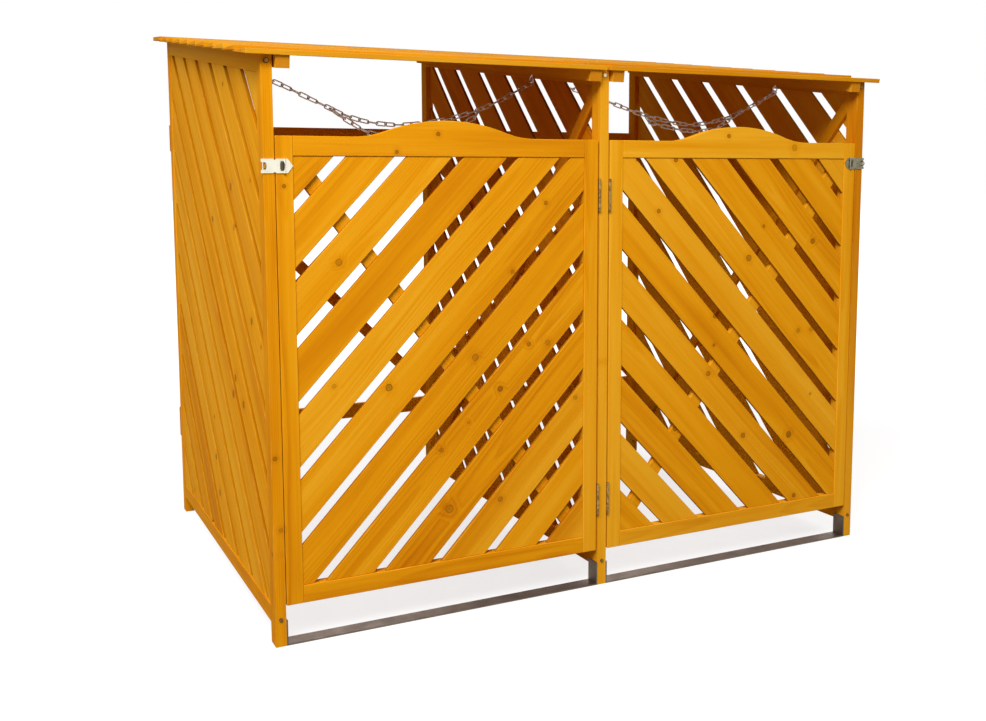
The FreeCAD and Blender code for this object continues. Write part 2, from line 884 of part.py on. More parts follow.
def lid_leaf(start, undersides, own_spans, bore):
    """A leaf of a lid hinge with its own knuckles, by its underside at the axis, near and far."""
    at_axis, near, far = undersides
    end = start + lid_hinge_length
    leaf = sloping_sheet(start, end, lid_leaf_near, lid_leaf_far, near, far)
    for low, high in own_spans:
        foot = Vector(low, lid_axis_y, lid_axis_z)
        barrel = rod(foot, Vector(1, 0, 0), lid_knuckle_radius, high - low)
        neck = sloping_sheet(low, high, 0, lid_leaf_near, at_axis, near)
        leaf = leaf.fuse([barrel, neck])
    foot = Vector(start, lid_axis_y, lid_axis_z)
    leaf = leaf.cut(rod(foot, Vector(1, 0, 0), bore, lid_hinge_length))
    return leaf.removeSplitter()


def board_leaf_underside(distance):
    """The height of a leaf that lies against the underside of the rearmost board."""
    lift = board_lifts()[-1]
    share = (roof_end - lid_axis_along - distance) / board_width
    return lift * share - lid_leaf_thickness


def lid_hinge_frame_leaves():
    """The leaves on the hinge rail, with the outer knuckles."""
    leaves = []
    for start in lid_hinge_starts:
        spans = knuckle_spans(start, lid_hinge_length)
        leaves.append(lid_leaf(start, [-hinge_rail_drop] * 3, spans[::2], lid_pin_radius))
    return leaves


def lid_hinge_leaves():
    """The leaves under a lid, with the middle knuckle."""
    undersides = [board_leaf_underside(place) for place in (0.0, lid_leaf_near, lid_leaf_far)]
    leaves = []
    for start in lid_hinge_starts:
        spans = knuckle_spans(start, lid_hinge_length)
        leaves.append(lid_leaf(start, undersides, spans[1:2], lid_pin_radius + pin_play))
    return leaves


def lid_hinge_pins():
    """The pins of a lid's hinges."""
    starts = [Vector(start, lid_axis_y, lid_axis_z) for start in lid_hinge_starts]
    return [rod(start, Vector(1, 0, 0), lid_pin_radius, lid_hinge_length) for start in starts]


# Chains
def wire_loop(bend, straight, wire):
    """A long closed loop of round wire about the origin, in the plane across Y, its length along X."""
    half = straight / 2
    pieces = []
    for end in (-1, 1):
        circle = Part.makeCircle(wire, Vector(end * half, 0, bend), Vector(1, 0, 0))
        section = Part.Face(Part.Wire([circle]))
        turned = section.revolve(Vector(end * half, 0, 0), Vector(0, end, 0), 180)
        pieces.append(turned)
        side = rod(Vector(-half, 0, end * bend), Vector(1, 0, 0), wire, straight)
        pieces.append(side)
    return pieces[0].fuse(pieces[1:]).removeSplitter()


def between(points, share):
    """A smooth line through hand-chosen points, each a share of the way and a drop."""
    last = len(points) - 2
    index = min(last, sum(1 for point in points[1:] if point[0] <= share))

    def tangent(number):
        before = points[max(number - 1, 0)]
        after = points[min(number + 1, len(points) - 1)]
        return (after[1] - before[1]) / (after[0] - before[0])

    here = points[index]
    there = points[index + 1]
    width = there[0] - here[0]
    t = (share - here[0]) / width
    rise = width * (tangent(index) * t * (1 - t) ** 2 - tangent(index + 1) * t * t * (1 - t))
    return here[1] * (1 + 2 * t) * (1 - t) ** 2 + there[1] * t * t * (3 - 2 * t) + rise


def chain_joints(start, end, drops, count, play, reach):
    """The points where neighbouring links meet, as (x, z), along a chain that hangs between two
    points; its first and last joints lie a reach beyond them."""
    step = link_inner_length - play
    run = end[0] - start[0]
    way = math.copysign(1.0, run)

    def height(x, depth):
        share = (x - start[0]) / run
        level = start[1] + share * (end[1] - start[1])
        if share < 0.0:
            return level - depth * share * drops[1][1] / drops[1][0]
        if share > 1.0:
            return level + depth * (share - 1.0) * drops[-2][1] / (1.0 - drops[-2][0])
        return level - depth * between(drops, share)

    def walk(depth):
        slope = math.atan2(height(start[0] + way * step, depth) - start[1], step)
        first_x = start[0] - way * reach * math.cos(slope)
        points = [(first_x, start[1] - reach * math.sin(slope))]
        while len(points) <= count:
            x, z = points[-1]
            near, far = x, x + way * step
            for _ in range(40):
                middle = (near + far) / 2
                if math.hypot(middle - x, height(middle, depth) - z) < step:
                    near = middle
                else:
                    far = middle
            points.append((near, height(near, depth)))
        return points

    slack, tight = 2.0, 0.1
    for _ in range(40):
        depth = (slack + tight) / 2
        points = walk(depth)
        rise = math.atan2(points[-1][1] - points[-2][1], abs(points[-1][0] - points[-2][0]))
        if way * (points[-1][0] - end[0]) > reach * math.cos(rise):
            tight = depth
        else:
            slack = depth
    return [Vector(x, eye_y, z) for x, z in points]


def main_joints(x_start, x_end, drops, play):
    """The joints of the chain between a lid's two eyes."""
    level = eye_z - eye_ring_radius
    reach = chain_wire_radius + play / 2
    return chain_joints((x_start, level), (x_end, level), drops, chain_links, play, reach)


link_bend = link_inner_width / 2 + chain_wire_radius
link_straight = link_inner_length - link_inner_width
link_turns = len(link_rolls)
snap_length = snap_straight + 2 * snap_bend_radius  # between the middles of the wire at its ends


def rolls_from(count, first):
    """How a number of links turn about the chain's line, from a place in the order of turns."""
    return [link_rolls[(number + first) % link_turns] for number in range(count)]


def links(joints, rolls):
    """Separate links between joints, each turned from its neighbours about the chain's line."""
    flat = wire_loop(link_bend, link_straight, chain_wire_radius)
    placed = []
    for here, there, angle in zip(joints, joints[1:], rolls):
        along = (there - here).normalize()
        up = along.cross(Vector(0, 1, 0)).normalize()
        aim = FreeCAD.Rotation(along, up.cross(along), up, "XZY")
        roll = FreeCAD.Rotation(Vector(1, 0, 0), angle)
        link = flat.copy()
        link.Placement = FreeCAD.Placement((here + there) * 0.5, aim.multiply(roll))
        placed.append(link)
    return placed


def main_links(joints):
    """The links of the chain between a lid's two eyes."""
    return links(joints, rolls_from(len(joints) - 1, 0))


def link_hold(joints, number, wire):
    """Where the middle of a round wire passes over the lower side of a link, clear of it; also
    the link's angle from level, and the way across the link to that side, along Y."""
    here, there = joints[number], joints[number + 1]
    angle = math.atan2(there.z - here.z, there.x - here.x)
    roll = math.radians(link_rolls[number % link_turns])
    across_y = math.copysign(link_bend * math.sin(roll), math.cos(roll))
    lift = chain_wire_radius + wire + snap_play - link_bend * abs(math.cos(roll))
    up = Vector(-math.sin(angle), 0, math.cos(angle))
    return (here + there) * 0.5 + up * lift, angle, across_y


def heading(angle, way, turn):
    """A direction along a chain at an angle from level, turned away from it by some degrees."""
    aim = angle + way * math.radians(turn)
    return Vector(way * math.cos(aim), 0, way * math.sin(aim))


def hook_and_tail(joints, first, last, drops, count, play):
    """A snap hook clipped to one link of a chain, and the links that hang from it, the last of
    them looped on another link."""
    first = round(first)
    last = round(last)
    count = round(count)
    way = 1 if last > first else -1

    apex, angle, across_y = link_hold(joints, first, snap_wire_radius)
    pull = heading(angle, way, -snap_turn)
    body = wire_loop(snap_bend_radius, snap_straight, snap_wire_radius)
    sleeve_side = math.copysign(snap_bend_radius, across_y)
    sleeve_start = Vector(-snap_sleeve_length / 2, 0, sleeve_side)
    sleeve = rod(sleeve_start, Vector(1, 0, 0), snap_sleeve_radius, snap_sleeve_length)
    hook = body.fuse(sleeve).removeSplitter()
    level = Vector(0, 1, 0)
    aim = FreeCAD.Rotation(pull, level.cross(pull), level, "XZY")
    hook.Placement = FreeCAD.Placement(apex + pull * (snap_length / 2), aim)
    start = apex + pull * (snap_length - snap_wire_radius - play / 2 - snap_play)

    over, angle, across_y = link_hold(joints, last, chain_wire_radius)
    climb = heading(angle, way, tail_end_turn)
    end = over - climb * (chain_wire_radius + play / 2)
    step = math.sqrt((link_inner_length - play) ** 2 - across_y ** 2)
    turn = end - climb * step
    points = chain_joints((start.x, start.z), (turn.x, turn.z), drops, count, play, 0.0)
    points.append(Vector(end.x, end.y + across_y, end.z))
    rolls = rolls_from(count - 1, link_turns + 1 - count) + list(tail_end_rolls)
    return [hook], links(points, rolls)


def main():
    os.makedirs("parts", exist_ok=True)

    for name in panel_middles:
        keep(name + "_front_post", [front_post(name)])
        panel = "divider" if name == "centre" else name + "_panel"
        for piece, shapes in panel_pieces(name, all_panel_screws[name]).items():
            keep(panel + "_" + piece, shapes)
    keep(
        "rear_posts",
        [post(x, panel_back, post_back, all_panel_screws[name]) for name, x in panel_middles.items()],
    )

    keep_pair("rear_rails", rear_rails)
    keep_pair("rear_braces", rear_braces)
    keep_pair("hinge_rail", hinge_rail)
    straps = floor_strap()
    keep("floor_straps", straps + [mirrored(strap) for strap in straps])
    screws = [
        screw(place, way, panel_screw_length)
        for places in all_panel_screws.values()
        for place, way in places
    ]
    screws += [screw(place, way, rear_screw_length) for place, way in all_rear_screws]
    keep("frame_screws", screws)

    keep_pair("door_latch_stile", lambda: door_stile(door_window_outer))
    keep_pair("door_hinge_stile", lambda: door_stile(door_hinge_edge))
    keep_pair("door_top_rail", door_top_rail)
    keep_pair("door_bottom_rail", door_bottom_rail)
    keep_pair("door_slats", door_slats)
    keep_pair("door_brace", door_brace)
    keep_pair("door_hinge_leaves", door_hinge_leaves)
    post_leaves = door_hinge_post_leaves()
    keep("door_hinge_post_leaves", post_leaves + [mirrored(leaf) for leaf in post_leaves])
    pins = door_hinge_pins()
    keep("door_hinge_pins", pins + [mirrored(pin) for pin in pins])

    keep("right_hasp_plate", hasp_plate(hasp_height_right))
    keep("right_hasp_strap", hasp_strap(hasp_height_right))
    keep("left_hasp_plate", [mirrored(piece) for piece in hasp_plate(hasp_height_left)])
    keep("left_hasp_strap", [mirrored(piece) for piece in hasp_strap(hasp_height_left)])
    staples = [hasp_staple(hasp_height_left, -1), hasp_staple(hasp_height_right, 1)]
    keep("hasp_staples", staples)

    keep_pair("lid_boards", lid_boards)
    keep_pair("lid_battens", lid_battens)
    keep_pair("lid_hinge_leaves", lid_hinge_leaves)
    keep_pair("screw_eyes", screw_eyes)
    frame_leaves = lid_hinge_frame_leaves()
    keep("lid_hinge_frame_leaves", frame_leaves + [mirrored(leaf) for leaf in frame_leaves])
    lid_pins = lid_hinge_pins()
    keep("lid_hinge_pins", lid_pins + [mirrored(pin) for pin in lid_pins])

    eye_inner = batten_starts[0] + batten_width / 2
    eye_outer = batten_starts[1] + batten_width / 2
    joints = main_joints(-eye_outer, -eye_inner, chain_drops_left, chain_play_left)
    hook, tail = hook_and_tail(
        joints, snap_link_left, tail_end_left, tail_drops_left, tail_links_left, tail_play_left
    )
    keep("left_chain", main_links(joints) + tail)
    keep("left_snap_hook", hook)
    joints = main_joints(eye_inner, eye_outer, chain_drops_right, chain_play_right)
    hook, tail = hook_and_tail(
        joints, snap_link_right, tail_end_right, tail_drops_right, tail_links_right, tail_play_right
    )
    keep("right_chain", main_links(joints) + tail)
    keep("right_snap_hook", hook)


main()
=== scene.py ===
import json
import math
import random

import bmesh
import bpy
from mathutils import Matrix, Vector


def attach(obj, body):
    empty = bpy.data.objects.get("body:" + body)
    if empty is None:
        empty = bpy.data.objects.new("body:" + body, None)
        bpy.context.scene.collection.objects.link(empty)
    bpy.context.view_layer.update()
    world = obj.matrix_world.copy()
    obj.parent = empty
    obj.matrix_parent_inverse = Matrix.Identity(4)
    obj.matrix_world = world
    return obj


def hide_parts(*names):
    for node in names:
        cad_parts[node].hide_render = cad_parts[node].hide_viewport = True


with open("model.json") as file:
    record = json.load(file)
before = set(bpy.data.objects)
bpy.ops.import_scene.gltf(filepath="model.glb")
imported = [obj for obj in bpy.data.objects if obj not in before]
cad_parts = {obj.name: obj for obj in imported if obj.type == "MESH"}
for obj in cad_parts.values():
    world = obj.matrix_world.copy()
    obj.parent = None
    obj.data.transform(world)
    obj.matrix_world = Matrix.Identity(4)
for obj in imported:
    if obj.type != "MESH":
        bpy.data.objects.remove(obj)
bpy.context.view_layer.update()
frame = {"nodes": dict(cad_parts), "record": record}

# Boards. Lengths are in metres throughout.
EDGE_ROUND = 0.0014
EDGE_SEGMENTS = 2
EDGE_ANGLE = 40.0  # degrees, from which an edge is eased
MERGE_DISTANCE = 2e-6
FLAT_ANGLE = 0.3  # degrees, under which two faces count as one
SAME_DIRECTION = 0.9995  # cosine, over which two edges run the same way
LEFT_PANEL_SWELL = 0.0015  # what the left panel's slats gain on each side of their width
END_SWELL = 1.5  # what they gain at each end, as a share of that

# Growth rings
RING_SPACING = 0.0038
RING_WAVER = 0.0022
RING_PUSH = 0.006  # how far a knot pushes the rings aside
PITH_DEPTH = (0.022, 0.075)  # of the pith from the board's middle
PITH_WANDER_ACROSS = 0.036
PITH_WANDER_DEEP = 0.022

# Knots, as distances from the middle of a knot of the usual size
KNOT_CELLS = 8.0  # cells to a metre of board, some of which hold a scattered knot
KNOT_SHARE = 0.07
KNOT_SIZES = (0.55, 1.15)
KNOT_RADIUS = 0.007
KNOT_UNEVEN = 0.0030
KNOT_EDGE = (0.0056, 0.0078)
KNOT_RIM_OUTSIDE = (0.0060, 0.0078)
KNOT_RIM_INSIDE = (0.0042, 0.0060)
KNOT_HEART = (0.0008, 0.0030)
KNOT_HALO = (0.006, 0.024)
KNOT_RING_RATE = 1500.0

# The stain's depth, from 0 for the lightest to 1 for the darkest, and what each pattern adds to it
SHADE_PLAIN = 0.40
SHADE_LATE = 0.17
SHADE_BAND = 0.85
SHADE_STREAK = 0.42
SHADE_FIBRE = 0.34
SHADE_CLOUD = 0.28
SHADE_TONE = 0.34
SHADE_HALO = 0.15
SHADE_MIDDLE = 0.46  # where the middle stain lies

# The wood's surface
WOOD_SPECULAR = 0.004
WOOD_ROUGHNESS = 0.56
WOOD_RELIEF = 0.00020
RUBBED_REACH = (0.0005, 0.0030)
RUBBED_SHARE = 0.22
PALER_SHARE = 0.40
HUE_STEP = 7.31  # turns a board's tone into a second number that looks unrelated

# Metal surfaces
SCRATCH_SCALE = 900.0
SCRATCH_RELIEF = 0.00004
DIRT_SHARE = 0.18
DIRT_DARKNESS = 0.55

# Floor and world
FLOOR_REACH = 60.0
FLOOR_DROP = 0.0004
FLOOR_WHITE = 0.27
FLOOR_GLOW = 0.75
FLOOR_FADE = (1.7, 3.6)  # distances over which the glow rises to full white
WORLD_LIGHT = 0.24

# The photo's camera
PHOTO_WIDTH, PHOTO_HEIGHT = 986, 721
FOCAL_PIXELS = 1052.43
AXIS_PIXEL = (474.85, 296.9)
CAMERA_PLACE = (-1.24271, -2.46543, 0.90490)
CAMERA_YAW, CAMERA_PITCH, CAMERA_ROLL = 25.37, -6.15, -0.37  # degrees
SENSOR_WIDTH = 36.0

# Colours as they are seen, from 0 to 255
STAIN_LIGHT = (238, 172, 40)
STAIN_MIDDLE = (226, 148, 14)
STAIN_DARK = (194, 108, 6)
STAIN_PALE = (234, 172, 44)
KNOT_BROWN = (152, 100, 22)
KNOT_CORE = (96, 52, 8)
END_BROWN = (186, 98, 14)
# Painted shade for the slats' flanks
FLANK_SHADE = (202, 192, 172)
# Painted shade for the inner parts
INSIDE_SHADE = (232, 166, 150)
RUBBED = (240, 184, 70)
# Greyer tan for up-facing surfaces: painted sheen as well as weathering
SHEEN_AND_WEATHERING = (170, 124, 58)
# Painted shade for the recesses in the hasps' windows
RECESS_SHADE = (58, 44, 34)
# A painted highlight
SCREW_HIGHLIGHT = (226, 216, 184)

# Metals: colour, worn colour and roughness
ZINC = ((240, 236, 216), (204, 198, 178), 0.36)
# The same zinc as the left hasp's, painted darker and greyer for the darker surroundings the right hasp
# reflects
ZINC_SHADED = ((142, 138, 116), (104, 100, 78), 0.36)
HINGE_PLATING = ((176, 142, 82), (104, 74, 36), 0.42)
STRAP_GALVANISED = ((112, 98, 86), (92, 78, 66), 0.55)
SCREW_ZINC = ((168, 142, 96), (104, 76, 42), 0.38)
SCREW_DARK = ((132, 100, 60), (84, 58, 32), 0.40)
STAPLE_STEEL = ((132, 122, 108), (92, 82, 70), 0.38)
CHAIN_ZINC = ((230, 220, 208), (178, 166, 152), 0.30)

# Oval patches on metal: middle, reach along X and along Z, share and colour. The two window patches are
# painted shade on the plate's tongue, standing in for the shadow in the recess round the hasp's pin
LEFT_WINDOW_SHADE = ((-0.7135, -0.508, 0.940), 0.0050, 0.0105, 0.92, RECESS_SHADE)
RIGHT_WINDOW_SHADE = ((0.7135, -0.508, 0.948), 0.0050, 0.0105, 0.85, RECESS_SHADE)
# Painted highlight on the centre post's screw head
CENTRE_SCREW_HIGHLIGHT = ((0.0, -0.508, 1.1347), 0.0060, 0.0060, 0.90, SCREW_HIGHLIGHT)

# Knots at set places: x, y, z and radius
LEFT_DOOR_KNOTS = (
    (-0.144, -0.503, 0.863, 0.0048), (-0.605, -0.503, 0.754, 0.0074), (-0.312, -0.503, 0.544, 0.0078),
    (-0.505, -0.503, 0.497, 0.0077), (-0.185, -0.503, 0.563, 0.0051), (-0.139, -0.503, 0.563, 0.0062),
    (-0.254, -0.503, 0.472, 0.0062), (-0.224, -0.503, 0.720, 0.0047), (-0.620, -0.503, 0.510, 0.0050),
    (-0.374, -0.503, 0.227, 0.0096), (-0.391, -0.503, 0.355, 0.0052), (-0.069, -0.503, 0.436, 0.0055),
    (-0.255, -0.503, 0.232, 0.0062),
)
RIGHT_DOOR_KNOTS = (
    (0.146, -0.503, 0.841, 0.0053), (0.404, -0.503, 0.726, 0.0078), (0.447, -0.503, 0.800, 0.0042),
    (0.599, -0.503, 0.760, 0.0070), (0.191, -0.503, 0.955, 0.0054), (0.308, -0.503, 0.594, 0.0058),
    (0.561, -0.503, 0.543, 0.0059), (0.291, -0.503, 0.459, 0.0060), (0.398, -0.503, 0.300, 0.0064),
    (0.561, -0.503, 0.130, 0.0056), (0.306, -0.503, 0.525, 0.0036), (0.605, -0.503, 0.382, 0.0034),
)
LEFT_PANEL_KNOTS = (
    (-0.748, -0.208, 1.005, 0.0085), (-0.748, -0.020, 0.828, 0.0070), (-0.748, -0.237, 0.816, 0.0065),
    (-0.748, 0.328, 0.752, 0.0050), (-0.748, -0.393, 0.914, 0.0040), (-0.748, -0.171, 1.120, 0.0050),
    (-0.748, -0.208, 0.489, 0.0080), (-0.748, 0.028, 0.259, 0.0070), (-0.748, -0.001, 0.178, 0.0080),
    (-0.748, -0.444, 0.589, 0.0042),
)
# The last one is painted shade round the left post's upper screw: a dark ring standing in for the shadow in
# the screw's hole
FRAME_KNOTS_AND_SCREW_SHADE = (
    (0.533, -0.505, 0.985, 0.0080), (0.337, -0.505, 1.010, 0.0050), (-0.392, -0.505, 1.004, 0.0045),
    (-0.742, -0.505, 0.379, 0.0044), (-0.734, -0.505, 0.236, 0.0045), (-0.739, -0.505, 1.1347, 0.0056),
)


def linear(colour):
    """The scene-linear RGBA of a colour given as it is seen."""
    parts = []
    for value in colour:
        share = value / 255.0
        parts.append(share / 12.92 if share <= 0.04045 else ((share + 0.055) / 1.055) ** 2.4)
    return (parts[0], parts[1], parts[2], 1.0)


# Node helpers

class Tree:
    """A material's node tree, with short calls for the nodes used here."""

    def __init__(self, name):
        self.material = bpy.data.materials.new(name)
        self.material.use_nodes = True
        self.nodes = self.material.node_tree.nodes
        self.links = self.material.node_tree.links
        self.nodes.clear()
        self.output = self.nodes.new("ShaderNodeOutputMaterial")
        self.shader = self.nodes.new("ShaderNodeBsdfPrincipled")
        self.links.new(self.shader.outputs["BSDF"], self.output.inputs["Surface"])

    def join(self, value, socket):
        if isinstance(value, bpy.types.NodeSocket):
            self.links.new(value, socket)
        else:
            socket.default_value = value

    def math(self, operation, first, second=0.0, third=0.0, clamp=False):
        node = self.nodes.new("ShaderNodeMath")
        node.operation = operation
        node.use_clamp = clamp
        for value, socket in zip((first, second, third), node.inputs):
            self.join(value, socket)
        return node.outputs[0]

    def vector_math(self, operation, first, second=None):
        node = self.nodes.new("ShaderNodeVectorMath")
        node.operation = operation
        self.join(first, node.inputs[0])
        if second is not None:
            self.join(second, node.inputs[1])
        return node

    def range(self, value, low, high, to_low=0.0, to_high=1.0, smooth=True):
        node = self.nodes.new("ShaderNodeMapRange")
        node.interpolation_type = "SMOOTHSTEP" if smooth else "LINEAR"
        self.join(value, node.inputs["Value"])
        node.inputs["From Min"].default_value = low
        node.inputs["From Max"].default_value = high
        node.inputs["To Min"].default_value = to_low
        node.inputs["To Max"].default_value = to_high
        return node.outputs["Result"]

    def mix(self, share, first, second, blend="MIX"):
        node = self.nodes.new("ShaderNodeMix")
        node.data_type = "RGBA"
        node.blend_type = blend
        self.join(share, node.inputs[0])
        self.join(first, node.inputs[6])
        self.join(second, node.inputs[7])
        return node.outputs[2]

    def attribute(self, name):
        node = self.nodes.new("ShaderNodeAttribute")
        node.attribute_name = name
        return node

    def separate(self, vector):
        node = self.nodes.new("ShaderNodeSeparateXYZ")
        self.links.new(vector, node.inputs[0])
        return node.outputs

    def noise(self, vector, scale, detail=2.0, roughness=0.5):
        node = self.nodes.new("ShaderNodeTexNoise")
        self.links.new(vector, node.inputs["Vector"])
        node.inputs["Scale"].default_value = scale
        node.inputs["Detail"].default_value = detail
        node.inputs["Roughness"].default_value = roughness
        return node.outputs["Fac"]

    def combine(self, x, y, z):
        node = self.nodes.new("ShaderNodeCombineXYZ")
        for value, socket in zip((x, y, z), node.inputs):
            self.join(value, socket)
        return node.outputs[0]

    def bump(self, height, distance):
        node = self.nodes.new("ShaderNodeBump")
        node.inputs["Strength"].default_value = 1.0
        node.inputs["Distance"].default_value = distance
        self.links.new(height, node.inputs["Height"])
        return node.outputs["Normal"]


def stained_wood(name, set_knots_and_shade=(), deeper=0.0, ends_share=0.55, inside=0.0, sheen_and_weathering=0.0):
    """Softwood under an orange-yellow stain: long soft bands, rings, fibres, knots and darker ends.
    deeper is added to the stain's depth; inside is the share of painted shade on inner parts, and the last is
    the share of a greyer tan on up-facing surfaces, which is painted sheen as well as weathering."""
    t = Tree(name)
    place = t.attribute("board_place").outputs["Vector"]
    along, across, deep = t.separate(place)
    tone = t.attribute("board_tone").outputs["Fac"]
    hue = t.math("FRACT", t.math("MULTIPLY", tone, HUE_STEP))

    def grain(long_scale, cross_scale, detail, roughness, offset=0.0):
        """Noise drawn out along the board."""
        where = t.combine(
            t.math("MULTIPLY", along, long_scale),
            t.math("MULTIPLY", across, cross_scale),
            t.math("MULTIPLY_ADD", deep, cross_scale, offset),
        )
        return t.math("SUBTRACT", t.noise(where, 1.0, detail, roughness), 0.5)

    def from_pith(value, wander, long_scale, offset):
        """A coordinate of the board, measured from a pith that wanders along it."""
        where = t.combine(t.math("MULTIPLY", along, long_scale), offset, t.math("MULTIPLY", tone, 40.0))
        return t.math("MULTIPLY_ADD", t.noise(where, 1.0, 1.0), wander, t.math("SUBTRACT", value, wander / 2))

    # Knots: scattered ones, and ones at set places, one of which is painted shade round a screw head
    cells = t.nodes.new("ShaderNodeTexVoronoi")
    cells.voronoi_dimensions = "2D"
    cells.inputs["Scale"].default_value = KNOT_CELLS
    t.links.new(t.combine(along, across, 0.0), cells.inputs["Vector"])
    chosen = t.nodes.new("ShaderNodeSeparateColor")
    t.links.new(cells.outputs["Color"], chosen.inputs[0])
    no_knot = t.math("GREATER_THAN", chosen.outputs[0], KNOT_SHARE)
    size = t.range(chosen.outputs[1], 0.0, 1.0, *KNOT_SIZES, smooth=False)
    reach = t.math("DIVIDE", t.math("DIVIDE", cells.outputs["Distance"], KNOT_CELLS), size)
    reach = t.math("ADD", reach, no_knot)
    if set_knots_and_shade:
        spot = t.nodes.new("ShaderNodeTexCoord").outputs["Object"]
        for x, y, z, radius in set_knots_and_shade:
            apart = t.vector_math("DISTANCE", spot, (x, y, z)).outputs["Value"]
            reach = t.math("MINIMUM", reach, t.math("MULTIPLY", apart, KNOT_RADIUS / radius))
    uneven = t.math("SUBTRACT", t.noise(place, 170.0, 2.0), 0.5)
    reach = t.math("ADD", reach, t.math("MULTIPLY", uneven, KNOT_UNEVEN))
    knot = t.range(reach, *KNOT_EDGE, 1.0, 0.0)
    knot_rim = t.math(
        "MULTIPLY", t.range(reach, *KNOT_RIM_OUTSIDE, 1.0, 0.0), t.range(reach, *KNOT_RIM_INSIDE)
    )
    knot_core = t.range(reach, *KNOT_HEART, 1.0, 0.0)
    turns = t.math("SINE", t.math("MULTIPLY", reach, KNOT_RING_RATE))
    knot_ring = t.math("MULTIPLY", knot, t.math("ABSOLUTE", turns))
    halo = t.range(reach, *KNOT_HALO, 1.0, 0.0)
    strength = t.range(t.noise(place, 5.0, 0.0), 0.36, 0.62, 0.55, 1.25)

    # Growth rings round the pith, pushed aside by the knots; late is the dark side of each ring
    ring_across = from_pith(across, PITH_WANDER_ACROSS, 1.5, 0.0)
    ring_deep = from_pith(deep, PITH_WANDER_DEEP, 1.9, 4.0)
    radius = t.vector_math("LENGTH", t.combine(0.0, ring_across, ring_deep)).outputs["Value"]
    radius = t.math("MULTIPLY_ADD", grain(5.0, 55.0, 2.0, 0.5), RING_WAVER, radius)
    radius = t.math("MULTIPLY_ADD", halo, RING_PUSH, radius)
    phase = t.math("FRACT", t.math("DIVIDE", radius, RING_SPACING))
    late = t.math("MULTIPLY", t.range(phase, 0.25, 0.84), t.range(phase, 0.88, 1.0, 1.0, 0.0))
    late = t.math("MULTIPLY", late, t.range(grain(0.9, 13.0, 1.0, 0.5, 3.0), -0.14, 0.16, 0.12, 1.0))

    # Long soft bands, streaks and fibres
    band = grain(1.0, 24.0, 2.0, 0.45)
    streak = grain(2.4, 105.0, 2.0, 0.5, 7.0)
    fibre = grain(9.0, 560.0, 3.0, 0.6)
    cloud = grain(3.0, 7.0, 2.0, 0.5, 11.0)

    shade = SHADE_PLAIN + deeper
    for pattern, share in (
        (late, SHADE_LATE), (band, SHADE_BAND), (streak, SHADE_STREAK), (fibre, SHADE_FIBRE),
        (cloud, SHADE_CLOUD), (t.math("SUBTRACT", tone, 0.5), SHADE_TONE), (halo, SHADE_HALO),
    ):
        shade = t.math("MULTIPLY_ADD", pattern, share, shade)
    ramp = t.nodes.new("ShaderNodeValToRGB")
    ramp.color_ramp.elements[0].color = linear(STAIN_LIGHT)
    ramp.color_ramp.elements[1].color = linear(STAIN_DARK)
    ramp.color_ramp.elements.new(SHADE_MIDDLE).color = linear(STAIN_MIDDLE)
    t.links.new(shade, ramp.inputs[0])
    paler = t.range(t.math("MULTIPLY_ADD", band, -1.2, hue), 0.45, 1.1)
    colour = t.mix(t.math("MULTIPLY", paler, PALER_SHARE), ramp.outputs[0], linear(STAIN_PALE))
    for mask, share, stain in (
        (knot, 0.46, KNOT_BROWN), (knot_ring, 0.26, KNOT_CORE),
        (knot_rim, 0.50, KNOT_CORE), (knot_core, 0.22, KNOT_CORE),
    ):
        amount = t.math("MULTIPLY", t.math("MULTIPLY", mask, share), strength)
        colour = t.mix(amount, colour, linear(stain))

    # Sawn ends soak up more stain, slats' flanks are darkened with painted shade, as if shaded deep in the
    # gaps between slats, and long edges are rubbed paler in places
    ends = t.attribute("board_end").outputs["Fac"]
    colour = t.mix(t.math("MULTIPLY", ends, ends_share), colour, linear(END_BROWN))
    flanks = t.attribute("board_flank").outputs["Fac"]
    colour = t.mix(flanks, colour, linear(FLANK_SHADE), "MULTIPLY")
    sides = t.vector_math("ABSOLUTE", t.attribute("board_sides").outputs["Vector"]).outputs[0]
    apart = t.vector_math("SUBTRACT", t.attribute("board_half").outputs["Vector"], sides).outputs[0]
    to_side, to_face = t.separate(apart)[1:3]
    near_edge = t.range(t.math("MAXIMUM", to_side, to_face), *RUBBED_REACH, 1.0, 0.0)
    rubbed = t.math("MULTIPLY", near_edge, t.range(grain(22.0, 60.0, 3.0, 0.6, 5.0), -0.04, 0.14))
    colour = t.mix(t.math("MULTIPLY", rubbed, RUBBED_SHARE), colour, linear(RUBBED))
    # Painted shade: inner parts are darker and redder, as if in the shade inside the store
    if inside:
        colour = t.mix(inside, colour, linear(INSIDE_SHADE), "MULTIPLY")
    # Up-facing surfaces get a greyer tan: painted sheen as seen at a grazing angle, with weathering, broken
    # up by the grain
    if sheen_and_weathering:
        upwards = t.separate(t.nodes.new("ShaderNodeTexCoord").outputs["Normal"])[2]
        share = t.math("MULTIPLY_ADD", t.math("ADD", fibre, streak), 0.9, sheen_and_weathering, clamp=True)
        share = t.math("MULTIPLY", share, t.range(upwards, 0.12, 0.55))
        colour = t.mix(share, colour, linear(SHEEN_AND_WEATHERING))
    t.links.new(colour, t.shader.inputs["Base Color"])

    rough = t.math("MULTIPLY_ADD", fibre, 0.18, WOOD_ROUGHNESS)
    rough = t.math("MULTIPLY_ADD", late, -0.07, rough)
    t.links.new(rough, t.shader.inputs["Roughness"])
    t.shader.inputs["Specular IOR Level"].default_value = WOOD_SPECULAR

    height = t.math("MULTIPLY_ADD", late, 0.45, fibre)
    height = t.math("MULTIPLY_ADD", knot, 0.5, height)
    height = t.math("MULTIPLY_ADD", streak, 0.6, height)
    t.links.new(t.bump(height, WOOD_RELIEF), t.shader.inputs["Normal"])
    return t.material


